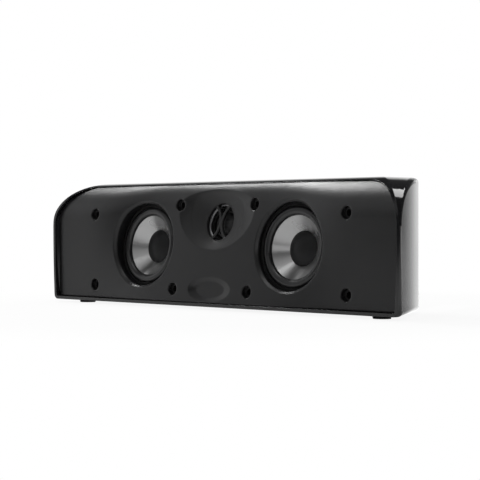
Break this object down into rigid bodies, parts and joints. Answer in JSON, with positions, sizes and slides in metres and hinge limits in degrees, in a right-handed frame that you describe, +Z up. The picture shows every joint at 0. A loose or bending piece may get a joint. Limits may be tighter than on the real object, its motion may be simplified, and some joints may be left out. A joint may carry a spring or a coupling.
{
  "type": "center channel speaker",
  "caption": "Low wide gloss black speaker cabinet with rolled front, recessed satin baffle, silver woofers, guarded dome tweeter in an oval waveguide and rear binding posts.",
  "frame": {"origin": "on the surface it stands on, under the middle of its bounding box", "axes": "+X along the width to the right as seen from behind the listener, -Y out of the front baffle, +Z up"},
  "size_m": [0.3912, 0.1172, 0.1025],
  "materials": {
    "gloss_black": "polished moulding",
    "satin_black": "fine satin moulding",
    "rubber_black": "matte",
    "zinc_steel": "zinc plated",
    "gasket_foam": "matte foam",
    "surround_rubber": "satin rubber",
    "cone_silver": "satin",
    "cap_black": "satin",
    "former_film": "amber film",
    "copper_wire": "enamelled copper wire",
    "spider_cloth": "resin treated cloth",
    "basket_steel": "black powder coat",
    "ferrite": "matte",
    "lug_board": "matte",
    "plate_silver": "satin",
    "dome_film": "coated cloth",
    "terminal_black": "fine grain",
    "post_red": "glossy",
    "post_black": "glossy",
    "gold_brass": "plated",
    "board_green": "lacquered board",
    "capacitor_sleeve": "shrink sleeve",
    "resistor_ceramic": "matte",
    "felt_white": "soft felt"
  },
  "bodies": {
    "cabinet": {"black_post_base": "post_black", "cabinet_shell": "gloss_black", "case_screws": "zinc_steel", "crossover_board": "board_green", "crossover_capacitors": "capacitor_sleeve", "crossover_inductors": "copper_wire", "crossover_resistor": "resistor_ceramic", "crossover_screws": "zinc_steel", "damping_pads": "felt_white", "front_baffle": "satin_black", "front_left_foot": "rubber_black", "front_right_foot": "rubber_black", "grille_grommets": "rubber_black", "left_woofer_basket": "basket_steel", "left_woofer_gasket": "gasket_foam", "left_woofer_lug_strip": "lug_board", "left_woofer_magnet": "ferrite", "left_woofer_screws": "zinc_steel", "left_woofer_spider": "spider_cloth", "left_woofer_surround": "surround_rubber", "left_woofer_top_plate": "zinc_steel", "left_woofer_yoke": "zinc_steel", "post_nuts": "gold_brass", "post_studs": "gold_brass", "rear_left_foot": "rubber_black", "rear_right_foot": "rubber_black", "red_post_base": "post_red", "right_woofer_basket": "basket_steel", "right_woofer_gasket": "gasket_foam", "right_woofer_lug_strip": "lug_board", "right_woofer_magnet": "ferrite", "right_woofer_screws": "zinc_steel", "right_woofer_spider": "spider_cloth", "right_woofer_surround": "surround_rubber", "right_woofer_top_plate": "zinc_steel", "right_woofer_yoke": "zinc_steel", "terminal_plate": "terminal_black", "terminal_screws": "zinc_steel", "threaded_insert": "gold_brass", "tweeter_coil": "copper_wire", "tweeter_cup": "zinc_steel", "tweeter_dome": "dome_film", "tweeter_faceplate": "plate_silver", "tweeter_magnet": "ferrite", "tweeter_pole_cap": "zinc_steel", "tweeter_screws": "zinc_steel"},
    "left_cone": {"left_woofer_cone": "cone_silver", "left_woofer_dust_cap": "cap_black", "left_woofer_coil_former": "former_film", "left_woofer_voice_coil": "copper_wire"},
    "right_cone": {"right_woofer_cone": "cone_silver", "right_woofer_dust_cap": "cap_black", "right_woofer_coil_former": "former_film", "right_woofer_voice_coil": "copper_wire"},
    "red_cap": {"red_post_cap": "post_red"},
    "black_cap": {"black_post_cap": "post_black"}
  },
  "joints": [
    {"name": "left_cone_slide", "type": "slide", "parent": "cabinet", "child": "left_cone", "axis": [-0.026, -0.9922, 0.1219], "range_m": [-0.003, 0.003], "stiffness_N_per_m": 1000, "deforming": ["left_woofer_surround", "left_woofer_spider"]},
    {"name": "right_cone_slide", "type": "slide", "parent": "cabinet", "child": "right_cone", "axis": [0.026, -0.9922, 0.1219], "range_m": [-0.003, 0.003], "stiffness_N_per_m": 1000, "deforming": ["right_woofer_surround", "right_woofer_spider"]},
    {"name": "red_cap_turn", "type": "hinge", "parent": "cabinet", "child": "red_cap", "pos_m": [0.0095, 0.04145, 0.0485], "axis": [0, 1, 0], "range_deg": [0, 360]},
    {"name": "black_cap_turn", "type": "hinge", "parent": "cabinet", "child": "black_cap", "pos_m": [-0.0095, 0.04145, 0.0485], "axis": [0, 1, 0], "range_deg": [0, 360]}
  ]
}
